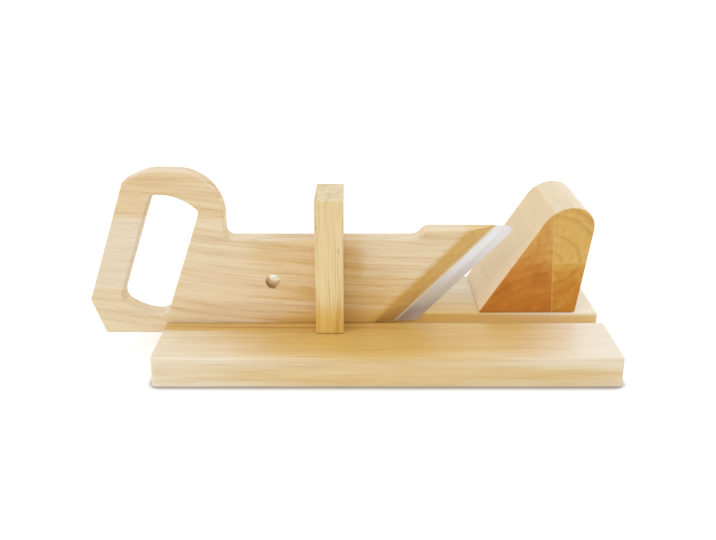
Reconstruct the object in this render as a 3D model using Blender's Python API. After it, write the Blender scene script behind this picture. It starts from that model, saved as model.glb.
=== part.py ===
"""Sliding slicer for dry sausage, in wood, with a slanted steel blade.

A shuttle board with a saw handle runs in the groove of a base board and through a
bridge that stands over the groove. It is glued up from three staves, of which the
hand hole cuts the middle one in two. Its right end is planed to a bevel and carries
the blade, let into its back. A rest block with a sloping side stands behind the
blade, and the sausage lies in the throat between them.

Frame: metres, +X along the groove to the right, +Y to the back, +Z up. The origin is
the centre of the base board's underside.
"""

import math

import bmesh
import bpy
from mathutils import Matrix, Vector

# Base board
BASE_LENGTH = 0.370
BASE_DEPTH = 0.173
BASE_THICKNESS = 0.0255
BASE_CORNER_RADIUS = 0.003
BASE_EASE = 0.0014
FRONT_STRIP = 0.066
GROOVE_DEPTH = 0.0103

# Shuttle board
SHUTTLE_THICKNESS = 0.0176
SHUTTLE_HEIGHT = 0.0837
SHUTTLE_EASE = 0.0010
SIDE_CLEARANCE = 0.0008
LOW_GLUE_HEIGHT = 0.0425
LOW_GLUE_FALL = math.radians(4.4)
HIGH_GLUE_HEIGHT = 0.1018
PULL_TRAVEL = 0.0595
PUSH_TRAVEL = 0.0675

# Nose, the raised end that stops against the bridge
NOSE_RISE = 0.0078
NOSE_LENGTH = 0.0675
NOSE_STEP_RADIUS = 0.009

# Handle
HANDLE_LEAN = math.radians(19.5)
HANDLE_HEIGHT = 0.1410
HANDLE_LENGTH = 0.1155
HANDLE_CROWN_RADIUS = 0.0385
HANDLE_TOE_RADIUS = 0.0020
HANDLE_HEEL_HEIGHT = 0.0305
HANDLE_HEEL_LENGTH = 0.0104
HANDLE_HEEL_RADIUS = 0.0025
HANDLE_BROW_HEIGHT = 0.1325
HANDLE_BROW_LENGTH = 0.0195
HANDLE_BROW_RADIUS = 0.005
HANDLE_FOREHEAD_RADIUS = 0.030
NECK_RADIUS = 0.007

# Hand hole: a leaning slot whose two ends each have a bend in them
GRIP_WIDTH = 0.0238
HOLE_WIDTH = 0.0408
HOLE_BOTTOM = 0.0159
HOLE_BOTTOM_RISE = 0.0139
HOLE_BOTTOM_BEND_IN = 0.0219
HOLE_BOTTOM_BEND_UP = 0.0027
HOLE_BOTTOM_RADIUS = 0.0105
HOLE_HEEL_RADIUS = 0.0106
HOLE_TOP = 0.1219
HOLE_TOP_FALL = 0.0147
HOLE_TOP_BEND_IN = 0.0165
HOLE_TOP_BEND_DOWN = 0.0017
HOLE_TOP_RADIUS = 0.0065
HOLE_BROW_RADIUS = 0.0067
HOLE_BEND_RADIUS = 0.038

# Hole for the peg that locks the shuttle when it is pushed home
PEG_HOLE_RADIUS = 0.0061
PEG_HOLE_HEIGHT = 0.0467
PEG_HOLE_FROM_NECK = 0.0384

# Blade
BLADE_ANGLE = math.radians(46.3)
BLADE_WIDTH = 0.036
BLADE_EXPOSED = 0.014
BLADE_THICKNESS = 0.0012
BLADE_LIFT = 0.004
BLADE_DROP = 0.001
BLADE_HEEL_RADIUS = 0.004
BLADE_TIP_RADIUS = 0.005
BLADE_BACK_RADIUS = 0.001
GRIND_WIDTH = 0.0065
EDGE_THICKNESS = 0.00015
BEVEL_WIDTH = 0.0175

# Bridge
GUIDE_WIDTH = 0.0228
GUIDE_HEIGHT = 0.1136
GUIDE_FRONT_LEG = 0.0225
GUIDE_REAR_LEG = 0.0095
GUIDE_TOP_CLEARANCE = 0.0006
GUIDE_EASE = 0.0010

# Rest block
REST_SETBACK = 0.0008
REST_END_MARGIN = 0.0197
REST_FOOT_LENGTH = 0.0835
LIP_OVER_REST = 0.0106
REST_HEIGHT = 0.0948
REST_SLOPE = math.radians(57.6)
REST_LEAN = math.radians(7.4)
REST_SLOPE_RADIUS = 0.026
REST_BACK_RADIUS = 0.0175
REST_EASE = 0.0010
REST_STAVE_FOOT = 0.0202
REST_STAVE_LEAN = math.radians(3.0)
REST_STAVE_HEIGHT = 0.0461

# Screws
SCREW_LENGTH = 0.045
SCREW_RADIUS = 0.0020
SCREW_HEAD_RADIUS = 0.0040
SCREW_SINK = 0.0005
BRIDGE_SCREW_SPACING = 0.011
REST_SCREW_INSET = 0.018
BLADE_SCREW_LENGTH = 0.010
BLADE_SCREW_RADIUS = 0.0014
BLADE_SCREW_HEAD_RADIUS = 0.0030
BLADE_SCREW_SPACING = 0.041
BLADE_SCREW_INSET = 0.008
SCREW_SLOT_WIDTH = 0.0008
SCREW_SLOT_DEPTH = 0.0008
SCREW_RIM = 0.0003
HOLE_MOUTH = 0.002

# Gap between faces that rest on each other
SEAT_GAP = 0.0003
GLUE_LINE = 0.0003

# How finely round forms are faceted, and from which angle an arris is eased
ARC_STEP = math.radians(10)
ARRIS_ANGLE = math.radians(35)
EASE_SEGMENTS = 2
CORNER_SEGMENTS = 6
SCREW_SIDES = 16
PEG_HOLE_SIDES = 32

# How far a cutting shape reaches past what it cuts
CUT_PAST = 0.010

# What follows from the sizes above
GROOVE_WIDTH = SHUTTLE_THICKNESS + 2 * SIDE_CLEARANCE
BASE_RIGHT = BASE_LENGTH / 2
BASE_REAR = BASE_DEPTH / 2
BASE_FRONT = -BASE_REAR
GROOVE_FRONT = BASE_FRONT + FRONT_STRIP
GROOVE_REAR = GROOVE_FRONT + GROOVE_WIDTH
GROOVE_FLOOR = BASE_THICKNESS - GROOVE_DEPTH
SHUTTLE_FRONT = GROOVE_FRONT + SIDE_CLEARANCE
SHUTTLE_REAR = SHUTTLE_FRONT + SHUTTLE_THICKNESS
SHUTTLE_BOTTOM = GROOVE_FLOOR + SEAT_GAP
SHUTTLE_TOP = SHUTTLE_BOTTOM + SHUTTLE_HEIGHT
NOSE_TOP = SHUTTLE_TOP + NOSE_RISE
REST_FOOT_RIGHT = BASE_RIGHT - REST_END_MARGIN
REST_FOOT_LEFT = REST_FOOT_RIGHT - REST_FOOT_LENGTH
NOSE_STEP_X = REST_FOOT_LEFT + LIP_OVER_REST - NOSE_LENGTH
GUIDE_X = NOSE_STEP_X - PULL_TRAVEL - GUIDE_WIDTH / 2
NECK_X = GUIDE_X - GUIDE_WIDTH / 2 - PUSH_TRAVEL - NECK_RADIUS
SEAT_Z = BASE_THICKNESS + SEAT_GAP

ALONG_BLADE = Vector((math.cos(BLADE_ANGLE), 0, math.sin(BLADE_ANGLE)))
ACROSS_BLADE = Vector((math.sin(BLADE_ANGLE), 0, -math.cos(BLADE_ANGLE)))
REBATE_FLOOR = SHUTTLE_REAR - BLADE_THICKNESS - SEAT_GAP
LIP = Vector((NOSE_STEP_X + NOSE_LENGTH, REBATE_FLOOR, NOSE_TOP))


def material(name, colour, roughness, metallic=0.0):
    """A plain Principled material."""
    result = bpy.data.materials.new(name)
    result.use_nodes = True
    shader = result.node_tree.nodes["Principled BSDF"]
    shader.inputs["Base Color"].default_value = (*colour, 1.0)
    shader.inputs["Roughness"].default_value = roughness
    shader.inputs["Metallic"].default_value = metallic
    result.diffuse_color = (*colour, 1.0)
    return result


def arc(corner, to_last, to_next, tangent):
    """The arc that leaves both sides of a corner at a distance from it."""
    if tangent <= 0:
        return [corner]
    half = to_last.angle(to_next) / 2
    radius = tangent * math.tan(half)
    centre = corner + (to_last + to_next).normalized() * (radius / math.sin(half))
    start = corner + to_last * tangent - centre
    turn = start.angle_signed(corner + to_next * tangent - centre)
    count = math.ceil(abs(turn) / ARC_STEP)
    return [centre + Matrix.Rotation(-turn * part / count, 2) @ start
            for part in range(count + 1)]


def rounded(corners):
    """The outline through corners (x, z, radius), each rounded as far as its sides allow."""
    places = [Vector(corner[:2]) for corner in corners]
    sides = [places[index] - places[index - 1] for index in range(len(places))]
    directions = [side.normalized() for side in sides]
    onward = directions[1:] + directions[:1]
    tangents = []
    for corner, arriving, leaving in zip(corners, directions, onward):
        tangents.append(corner[2] * math.tan(arriving.angle(leaving) / 2))
    room = []
    for index, side in enumerate(sides):
        wanted = tangents[index - 1] + tangents[index]
        room.append(min(1, 0.99 * side.length / wanted) if wanted else 1)
    points = []
    for index, place in enumerate(places):
        fit = min(room[index], room[(index + 1) % len(places)])
        points += arc(place, -directions[index], onward[index], tangents[index] * fit)
    return points


def add_object(name, mesh, paint, parent=None):
    """Put a mesh in the scene under its node's name."""
    result = bpy.data.objects.new(name, mesh)
    bpy.context.scene.collection.objects.link(result)
    if paint:
        mesh.materials.append(paint)
    if parent:
        result.parent = parent
        result.matrix_parent_inverse = parent.matrix_world.inverted()
    return result


def prism(outline, start, end, across="Y"):
    """The mesh of an outline drawn square to Y (as x, z) or to X (as y, z)."""
    def place(point, depth):
        if across == "Y":
            return Vector((point[0], depth, point[1]))
        return Vector((depth, point[0], point[1]))

    shape = bmesh.new()
    loop = [shape.verts.new(place(point, start)) for point in outline]
    face = shape.faces.new(loop)
    sweep = place((0, 0), end) - place((0, 0), start)
    new = bmesh.ops.extrude_face_region(shape, geom=[face])["geom"]
    moved = [item for item in new if isinstance(item, bmesh.types.BMVert)]
    bmesh.ops.translate(shape, verts=moved, vec=sweep)
    bmesh.ops.recalc_face_normals(shape, faces=shape.faces)
    mesh = bpy.data.meshes.new("prism")
    shape.to_mesh(mesh)
    shape.free()
    return mesh


def slab(low, high):
    """The mesh of a box between two corners."""
    outline = [(low[0], low[2]), (high[0], low[2]), (high[0], high[2]), (low[0], high[2])]
    return prism(outline, low[1], high[1])


def turned(profile, sides):
    """A solid turned round Z from (radius, z) points that start and end on the axis."""
    shape = bmesh.new()
    chain = [shape.verts.new((radius, 0, z)) for radius, z in profile]
    edges = [shape.edges.new(pair) for pair in zip(chain, chain[1:])]
    bmesh.ops.spin(shape, geom=chain + edges, axis=(0, 0, 1), cent=(0, 0, 0),
                   angle=math.tau, steps=sides)
    bmesh.ops.remove_doubles(shape, verts=shape.verts, dist=1e-6)
    bmesh.ops.recalc_face_normals(shape, faces=shape.faces)
    mesh = bpy.data.meshes.new("turned")
    shape.to_mesh(mesh)
    shape.free()
    mesh.shade_smooth()
    mesh.set_sharp_from_angle(angle=math.radians(30))
    return mesh


def ease_edges(target, width):
    """Round every arris of a wooden piece that is still to be cut."""
    bevel = target.modifiers.new("eased edges", "BEVEL")
    bevel.width = width
    bevel.segments = EASE_SEGMENTS
    bevel.limit_method = "ANGLE"
    bevel.angle_limit = ARRIS_ANGLE


def is_sharp(edge):
    """An arris that stands out, and not an inner corner."""
    return edge.is_convex and edge.calc_face_angle() > ARRIS_ANGLE


def spans_board(edge):
    """An arris as high as the base board is thick."""
    return abs(edge.verts[0].co.z - edge.verts[1].co.z) > (GROOVE_FLOOR + BASE_THICKNESS) / 2


def round_arrises(mesh, width, segments, chosen):
    """Round the arrises of a mesh that a test chooses."""
    shape = bmesh.new()
    shape.from_mesh(mesh)
    arrises = [edge for edge in shape.edges if chosen(edge)]
    bmesh.ops.bevel(shape, geom=arrises, offset=width, offset_type="OFFSET",
                    segments=segments, profile=0.5, affect="EDGES")
    shape.to_mesh(mesh)
    shape.free()


def hide_tool(tool):
    """Keep a cutting shape out of the model."""
    tool.hide_render = True
    tool.display_type = "WIRE"


def combine(target, name, mesh, operation="DIFFERENCE", place=None):
    """Cut a shape from a piece, or keep only what lies inside it."""
    tool = add_object(name, mesh, None)
    if place:
        tool.matrix_world = place
    hide_tool(tool)
    boolean = target.modifiers.new(name, "BOOLEAN")
    boolean.operation = operation
    boolean.object = tool
    return tool


def screw_profile(radius, head_radius, length):
    """A countersunk screw along Z, its head's flat at 0."""
    cone = SCREW_RIM + head_radius - radius
    point = radius * 1.5
    return [(0, 0), (head_radius, 0), (head_radius, -SCREW_RIM), (radius, -cone),
            (radius, point - length), (0, -length)]


def hole_profile(radius, head_radius, length):
    """The hole of such a screw, wider by the gap all round and open at its mouth."""
    cone = SCREW_RIM + head_radius - radius
    wall = radius + SEAT_GAP
    mouth = head_radius + SEAT_GAP
    end = -length - SEAT_GAP
    return [(0, HOLE_MOUTH), (mouth, HOLE_MOUTH), (mouth, -SCREW_RIM), (wall, -cone),
            (wall, end), (0, end)]


def screw(name, place, sizes, paint, parent=None):
    """A countersunk screw with a plain slot in its head."""
    result = add_object(name, turned(screw_profile(*sizes), SCREW_SIDES), paint)
    result.matrix_world = place
    if parent:
        result.parent = parent
        result.matrix_parent_inverse = parent.matrix_world.inverted()
    reach = sizes[1] * 1.2
    half = SCREW_SLOT_WIDTH / 2
    slot = slab((-reach, -half, -SCREW_SLOT_DEPTH), (reach, half, SCREW_SLOT_DEPTH))
    combine(result, name + " slot", slot, place=place)
    return result


def screw_hole(target, name, place, sizes):
    """The countersunk hole that a screw fills."""
    combine(target, name, turned(hole_profile(*sizes), SCREW_SIDES), place=place)


def base_board(paint):
    """The board, round at its corners, with its groove open at both ends."""
    top = BASE_THICKNESS
    outline = [
        (BASE_FRONT, 0),
        (BASE_REAR, 0),
        (BASE_REAR, top),
        (GROOVE_REAR, top),
        (GROOVE_REAR, GROOVE_FLOOR),
        (GROOVE_FRONT, GROOVE_FLOOR),
        (GROOVE_FRONT, top),
        (BASE_FRONT, top),
    ]
    mesh = prism(outline, -BASE_RIGHT, BASE_RIGHT, across="X")
    round_arrises(mesh, BASE_CORNER_RADIUS, CORNER_SEGMENTS, spans_board)
    round_arrises(mesh, BASE_EASE, EASE_SEGMENTS, is_sharp)
    return add_object("base_board", mesh, paint)


def guide_bridge(paint):
    """The bridge: two legs astride the groove and a solid head over the shuttle."""
    slot_top = SHUTTLE_TOP + GUIDE_TOP_CLEARANCE
    front = GROOVE_FRONT - GUIDE_FRONT_LEG
    rear = GROOVE_REAR + GUIDE_REAR_LEG
    outline = [
        (front, SEAT_Z),
        (GROOVE_FRONT, SEAT_Z),
        (GROOVE_FRONT, slot_top),
        (GROOVE_REAR, slot_top),
        (GROOVE_REAR, SEAT_Z),
        (rear, SEAT_Z),
        (rear, BASE_THICKNESS + GUIDE_HEIGHT),
        (front, BASE_THICKNESS + GUIDE_HEIGHT),
    ]
    half = GUIDE_WIDTH / 2
    mesh = prism(outline, GUIDE_X - half, GUIDE_X + half, across="X")
    round_arrises(mesh, GUIDE_EASE, EASE_SEGMENTS, is_sharp)
    return add_object("guide_bridge", mesh, paint)


def lean_x(x, z, height, lean):
    """Where a line through (x, z) that leans back by an angle stands at a height."""
    return x + (height - z) * math.tan(lean)


def shuttle_outline():
    """The board's outline before its end is bevelled."""
    bottom = SHUTTLE_BOTTOM
    left = NECK_X - HANDLE_LENGTH
    heel = bottom + HANDLE_HEEL_HEIGHT
    brow = bottom + HANDLE_BROW_HEIGHT
    brow_x = lean_x(left, heel, brow, HANDLE_LEAN)
    crown = bottom + HANDLE_HEIGHT
    end = LIP.x + BLADE_EXPOSED
    return rounded([
        (left + HANDLE_HEEL_LENGTH, bottom, HANDLE_TOE_RADIUS),
        (end, bottom, 0),
        (end, NOSE_TOP, 0),
        (NOSE_STEP_X + NOSE_RISE, NOSE_TOP, NOSE_STEP_RADIUS),
        (NOSE_STEP_X, SHUTTLE_TOP, NOSE_STEP_RADIUS),
        (NECK_X, SHUTTLE_TOP, NECK_RADIUS),
        (NECK_X, crown, HANDLE_CROWN_RADIUS),
        (brow_x + HANDLE_BROW_LENGTH, crown, HANDLE_FOREHEAD_RADIUS),
        (brow_x, brow, HANDLE_BROW_RADIUS),
        (left, heel, HANDLE_HEEL_RADIUS),
    ])


def hand_hole_x(offset, height):
    """Where a line beside the grip, offset into the hand hole, reaches a height."""
    heel = SHUTTLE_BOTTOM + HANDLE_HEEL_HEIGHT
    left = NECK_X - HANDLE_LENGTH + GRIP_WIDTH / math.cos(HANDLE_LEAN)
    return lean_x(left + offset, heel, height, HANDLE_LEAN)


def hand_hole_outline():
    """The hand hole: two leaning sides, a sole that falls and a top that falls."""
    across = HOLE_WIDTH / math.cos(HANDLE_LEAN)
    low = SHUTTLE_BOTTOM + HOLE_BOTTOM
    high = SHUTTLE_BOTTOM + HOLE_TOP

    def corner(offset, height, radius):
        return hand_hole_x(offset, height), height, radius

    bend_up = low + HOLE_BOTTOM_BEND_UP
    bend_down = high - HOLE_TOP_BEND_DOWN
    return rounded([
        corner(0, low + HOLE_BOTTOM_RISE, HOLE_HEEL_RADIUS),
        corner(across - HOLE_BOTTOM_BEND_IN, bend_up, HOLE_BEND_RADIUS),
        corner(across, low, HOLE_BOTTOM_RADIUS),
        corner(across, high - HOLE_TOP_FALL, HOLE_TOP_RADIUS),
        corner(across - HOLE_TOP_BEND_IN, bend_down, HOLE_BEND_RADIUS),
        corner(0, high, HOLE_BROW_RADIUS),
    ])


def on_low_glue_line(x, side):
    """The place at x on one side of the low glue line, which falls to the right."""
    fall = (x - NECK_X + HANDLE_LENGTH) * math.tan(LOW_GLUE_FALL)
    half = GLUE_LINE / 2 / math.cos(LOW_GLUE_FALL)
    return x, SHUTTLE_BOTTOM + LOW_GLUE_HEIGHT - fall + side * half


def shuttle_stave_regions():
    """The part of the board that each stave fills, as an outline."""
    low_line = SHUTTLE_BOTTOM + LOW_GLUE_HEIGHT
    high_line = SHUTTLE_BOTTOM + HIGH_GLUE_HEIGHT
    under = high_line - GLUE_LINE / 2
    over = high_line + GLUE_LINE / 2
    hole_middle = HOLE_WIDTH / math.cos(HANDLE_LEAN) / 2
    low_x = hand_hole_x(hole_middle, low_line)
    high_x = hand_hole_x(hole_middle, high_line)
    far = BASE_LENGTH
    top = SHUTTLE_BOTTOM + HANDLE_HEIGHT + CUT_PAST
    return {
        "shuttle_low_stave": [(-far, 0), (far, 0), on_low_glue_line(far, -1),
                              on_low_glue_line(-far, -1)],
        "shuttle_grip_stave": [on_low_glue_line(-far, 1), on_low_glue_line(low_x, 1),
                               (high_x, under), (-far, under)],
        "shuttle_middle_stave": [on_low_glue_line(low_x, 1), on_low_glue_line(far, 1),
                                 (far, under), (high_x, under)],
        "shuttle_crown_stave": [(-far, over), (far, over), (far, top), (-far, top)],
    }


def shuttle_stave(name, region, paint, parent):
    """One stave: its share of handle, back, nose, bevelled end and blade rebate."""
    front = SHUTTLE_FRONT - CUT_PAST
    rear = SHUTTLE_REAR + CUT_PAST
    result = add_object(name, prism(shuttle_outline(), SHUTTLE_FRONT, SHUTTLE_REAR), paint, parent)
    combine(result, name + " hand hole", prism(hand_hole_outline(), front, rear))
    ease_edges(result, SHUTTLE_EASE)
    combine(result, name + " end bevel", end_bevel_tool(), place=blade_frame(LIP))
    combine(result, name + " blade rebate", rebate_tool(), place=blade_frame(LIP))
    through = SHUTTLE_THICKNESS + CUT_PAST
    drill = [(0, CUT_PAST), (PEG_HOLE_RADIUS, CUT_PAST), (PEG_HOLE_RADIUS, -through), (0, -through)]
    centre = (NECK_X + PEG_HOLE_FROM_NECK, SHUTTLE_REAR, SHUTTLE_BOTTOM + PEG_HOLE_HEIGHT)
    combine(result, name + " peg hole", turned(drill, PEG_HOLE_SIDES), place=facing_back(centre))
    combine(result, name + " region", prism(region, front, rear), operation="INTERSECT")
    return result


def blade_frame(origin):
    """Axes at a point of the blade: X along it, Y back, Z away from its edge."""
    back = Vector((0, 1, 0))
    axes = Matrix((ALONG_BLADE, back, -ACROSS_BLADE)).transposed()
    return Matrix.Translation(origin) @ axes.to_4x4()


def facing_back(origin):
    """Axes at a point with Z to the back, for what enters from behind."""
    return Matrix.Translation(origin) @ Matrix.Rotation(-math.pi / 2, 4, "X")


def facing_down(origin):
    """Axes at a point with Z down, for what enters from below."""
    return Matrix.Translation(origin) @ Matrix.Rotation(math.pi, 4, "X")


def end_bevel_tool():
    """All that lies beyond the bevel, in the blade's axes."""
    depth = REBATE_FLOOR - SHUTTLE_FRONT
    slope = BEVEL_WIDTH / depth
    front = -depth - CUT_PAST
    far = -SHUTTLE_HEIGHT * 2
    outline = [
        (front, (depth + CUT_PAST) * slope),
        (CUT_PAST, -CUT_PAST * slope),
        (CUT_PAST, far),
        (front, far),
    ]
    return prism(outline, far, -far, across="X")


def rebate_tool():
    """The rebate in the back, open to both ends of the blade."""
    back = BLADE_WIDTH - BLADE_EXPOSED + SEAT_GAP
    reach = SHUTTLE_HEIGHT * 2
    return slab((-reach, 0, -reach), (reach, CUT_PAST, back))


def blade_crossing(offset, height):
    """Where a line beside the blade's lip, offset towards the edge, reaches a height."""
    start = LIP + ACROSS_BLADE * offset
    return start.x + (height - start.z) / math.tan(BLADE_ANGLE)


def blade_ends():
    """The heights of the blade's two level ends."""
    return SHUTTLE_BOTTOM + BLADE_LIFT, NOSE_TOP - BLADE_DROP


def blade(paint, parent):
    """The blade: a flat strip with level ends, ground on its front along its edge."""
    low, high = blade_ends()
    hidden = BLADE_WIDTH - BLADE_EXPOSED
    outline = rounded([
        (blade_crossing(-hidden, low), low, BLADE_BACK_RADIUS),
        (blade_crossing(BLADE_EXPOSED, low), low, BLADE_HEEL_RADIUS),
        (blade_crossing(BLADE_EXPOSED, high), high, BLADE_TIP_RADIUS),
        (blade_crossing(-hidden, high), high, BLADE_BACK_RADIUS),
    ])
    mesh = prism(outline, SHUTTLE_REAR - BLADE_THICKNESS, SHUTTLE_REAR)
    result = add_object("blade", mesh, paint, parent)
    combine(result, "blade grind", grind_tool(), place=blade_frame(LIP))
    return result


def grind_tool():
    """What the grinding takes off the front of the blade, in the blade's axes."""
    past = BLADE_THICKNESS * 2
    slope = (BLADE_THICKNESS - EDGE_THICKNESS) / GRIND_WIDTH
    shoulder = GRIND_WIDTH - BLADE_EXPOSED
    deepest = SEAT_GAP + BLADE_THICKNESS - EDGE_THICKNESS
    outline = [
        (SEAT_GAP - past * slope, shoulder + past),
        (deepest + past * slope, -BLADE_EXPOSED - past),
        (-past, -BLADE_EXPOSED - past),
        (-past, shoulder + past),
    ]
    reach = SHUTTLE_HEIGHT * 2
    return prism(outline, -reach, reach, across="X")


def blade_screw_places():
    """Three places on the back of the blade, in a line along its hidden half."""
    offset = BLADE_WIDTH - BLADE_EXPOSED - BLADE_SCREW_INSET
    height = sum(blade_ends()) / 2
    middle = Vector((blade_crossing(-offset, height), SHUTTLE_REAR, height))
    for step in (-1, 0, 1):
        yield facing_back(middle + ALONG_BLADE * step * BLADE_SCREW_SPACING)


def rest_outline():
    """The rest's outline: a slope for the sausage, a round top and a leaning back."""
    top = BASE_THICKNESS + REST_HEIGHT
    slope_x = lean_x(REST_FOOT_LEFT, SEAT_Z, top, math.pi / 2 - REST_SLOPE)
    back_x = lean_x(REST_FOOT_RIGHT, SEAT_Z, top, REST_LEAN)
    return rounded([
        (REST_FOOT_LEFT, SEAT_Z, 0),
        (REST_FOOT_RIGHT, SEAT_Z, 0),
        (back_x, top, REST_BACK_RADIUS),
        (slope_x, top, REST_SLOPE_RADIUS),
    ])


def joint_x(height, side):
    """The upright glue line at a height, on one side of its thickness."""
    foot = REST_FOOT_RIGHT - REST_STAVE_FOOT + side * GLUE_LINE / 2
    return lean_x(foot, SEAT_Z, height, -REST_STAVE_LEAN)


def rest_stave_regions():
    """The part of the block that each stave fills, as an outline."""
    low = 0
    high = BASE_THICKNESS + REST_HEIGHT * 2
    level = BASE_THICKNESS + REST_STAVE_HEIGHT
    under = level - GLUE_LINE / 2
    over = level + GLUE_LINE / 2
    far = BASE_LENGTH
    return {
        "rest_left_stave": [(-far, low), (joint_x(low, -1), low),
                            (joint_x(high, -1), high), (-far, high)],
        "rest_lower_stave": [(joint_x(low, 1), low), (far, low),
                             (far, under), (joint_x(under, 1), under)],
        "rest_upper_stave": [(joint_x(over, 1), over), (far, over),
                             (far, high), (joint_x(high, 1), high)],
    }


def rest_staves(paint):
    """The rest block, glued up from three staves and eased as one."""
    front = GROOVE_REAR + REST_SETBACK
    staves = {}
    for name, region in rest_stave_regions().items():
        stave = add_object(name, prism(rest_outline(), front, BASE_REAR), paint)
        ease_edges(stave, REST_EASE)
        keep = prism(region, front - CUT_PAST, BASE_REAR + CUT_PAST)
        combine(stave, name + " region", keep, operation="INTERSECT")
        staves[name] = stave
    return staves


def bridge_screw_places():
    """Two screws under the bridge's front leg and one under its rear leg."""
    front = GROOVE_FRONT - GUIDE_FRONT_LEG / 2
    half = BRIDGE_SCREW_SPACING / 2
    for y in (front - half, front + half, GROOVE_REAR + GUIDE_REAR_LEG / 2):
        yield facing_down((GUIDE_X, y, SCREW_SINK))


def rest_screw_places():
    """Two screws under the left stave, then two under the lower right one."""
    foot = REST_FOOT_RIGHT - REST_STAVE_FOOT
    front = GROOVE_REAR + REST_SETBACK + REST_SCREW_INSET
    rear = BASE_REAR - REST_SCREW_INSET
    for x in ((REST_FOOT_LEFT + foot) / 2, (REST_FOOT_RIGHT + foot) / 2):
        for y in (front, rear):
            yield facing_down((x, y, SCREW_SINK))


def empty_scene():
    """Remove the objects that Blender starts with."""
    for item in list(bpy.data.objects):
        bpy.data.objects.remove(item)


def main():
    empty_scene()
    pale = material("pale wood", (0.72, 0.52, 0.31), 0.55)
    warm = material("warm wood", (0.68, 0.43, 0.20), 0.55)
    board_wood = material("board wood", (0.74, 0.51, 0.27), 0.55)
    steel = material("brushed steel", (0.72, 0.72, 0.74), 0.30, 1.0)
    zinc = material("zinc", (0.60, 0.60, 0.58), 0.40, 1.0)

    slide = bpy.data.objects.new("shuttle slide", None)
    bpy.context.scene.collection.objects.link(slide)
    middle = (SHUTTLE_FRONT + SHUTTLE_REAR) / 2
    slide.matrix_world = Matrix.Translation((GUIDE_X, middle, SHUTTLE_BOTTOM))

    base = base_board(board_wood)
    bridge = guide_bridge(pale)
    shuttle = {name: shuttle_stave(name, region, pale, slide)
               for name, region in shuttle_stave_regions().items()}
    steel_blade = blade(steel, slide)
    rest = rest_staves(warm)

    wood_screw = (SCREW_RADIUS, SCREW_HEAD_RADIUS, SCREW_LENGTH)
    for number, place in enumerate(bridge_screw_places(), start=1):
        screw(f"guide_screw_{number}", place, wood_screw, zinc)
        screw_hole(base, f"guide screw hole {number}", place, wood_screw)
        screw_hole(bridge, f"guide pilot hole {number}", place, wood_screw)

    carriers = [rest["rest_left_stave"]] * 2 + [rest["rest_lower_stave"]] * 2
    for number, (place, stave) in enumerate(zip(rest_screw_places(), carriers), start=1):
        screw(f"rest_screw_{number}", place, wood_screw, zinc)
        screw_hole(base, f"rest screw hole {number}", place, wood_screw)
        screw_hole(stave, f"rest pilot hole {number}", place, wood_screw)

    blade_screw = (BLADE_SCREW_RADIUS, BLADE_SCREW_HEAD_RADIUS, BLADE_SCREW_LENGTH)
    for number, place in enumerate(blade_screw_places(), start=1):
        screw(f"blade_screw_{number}", place, blade_screw, zinc, slide)
        screw_hole(steel_blade, f"blade hole {number}", place, blade_screw)
        for name in ("shuttle_low_stave", "shuttle_middle_stave"):
            screw_hole(shuttle[name], f"{name} pilot hole {number}", place, blade_screw)


main()
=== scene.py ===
import math

import bmesh
import bpy
from bpy.props import FloatProperty, FloatVectorProperty, PointerProperty
from bpy.types import Operator, Panel, PropertyGroup
from mathutils import Matrix, Vector


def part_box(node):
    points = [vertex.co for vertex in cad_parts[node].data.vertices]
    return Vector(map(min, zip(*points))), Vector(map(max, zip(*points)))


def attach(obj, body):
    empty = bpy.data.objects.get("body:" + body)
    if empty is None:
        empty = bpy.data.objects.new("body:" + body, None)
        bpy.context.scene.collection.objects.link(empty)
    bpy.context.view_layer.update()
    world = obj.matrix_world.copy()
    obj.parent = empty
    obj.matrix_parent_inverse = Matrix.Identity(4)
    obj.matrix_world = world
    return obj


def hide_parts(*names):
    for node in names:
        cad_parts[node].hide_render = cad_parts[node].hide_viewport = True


bl_info = {
    "name": "Sliding Slicer",
    "version": (1, 0, 0),
    "blender": (4, 5, 0),
    "location": "3D View > Sidebar > Slicer",
    "description": "Models a wooden sliding slicer with a saw handle, piece by piece",
    "category": "Add Mesh",
}

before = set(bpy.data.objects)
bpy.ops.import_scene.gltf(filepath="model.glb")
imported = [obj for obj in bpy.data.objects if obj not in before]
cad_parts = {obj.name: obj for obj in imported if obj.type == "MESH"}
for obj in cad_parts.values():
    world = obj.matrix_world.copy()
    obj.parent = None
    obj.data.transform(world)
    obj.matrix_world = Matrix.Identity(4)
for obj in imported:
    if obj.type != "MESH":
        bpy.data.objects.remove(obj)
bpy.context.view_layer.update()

# Places that the frame gives
BASE_LOW, BASE_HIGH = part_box("base_board")
GUIDE_LOW, GUIDE_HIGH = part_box("guide_bridge")
BLADE_LOW, BLADE_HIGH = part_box("blade")
LOW_STAVE_LOW, LOW_STAVE_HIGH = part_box("shuttle_low_stave")
MIDDLE_STAVE_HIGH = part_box("shuttle_middle_stave")[1]
CROWN_STAVE_LOW, CROWN_STAVE_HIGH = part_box("shuttle_crown_stave")
REST_LEFT_LOW, REST_LEFT_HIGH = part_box("rest_left_stave")
REST_LOWER_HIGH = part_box("rest_lower_stave")[1]
REST_UPPER_LOW, REST_UPPER_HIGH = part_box("rest_upper_stave")

# Base board
BASE_CORNER_RADIUS = 0.003
GROOVE_FLOOR = 0.0152
SIDE_CLEARANCE = 0.0008
GROOVE_FRONT = LOW_STAVE_LOW.y - SIDE_CLEARANCE
GROOVE_REAR = LOW_STAVE_HIGH.y + SIDE_CLEARANCE

# Bridge
GUIDE_TOP_CLEARANCE = 0.0006

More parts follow.
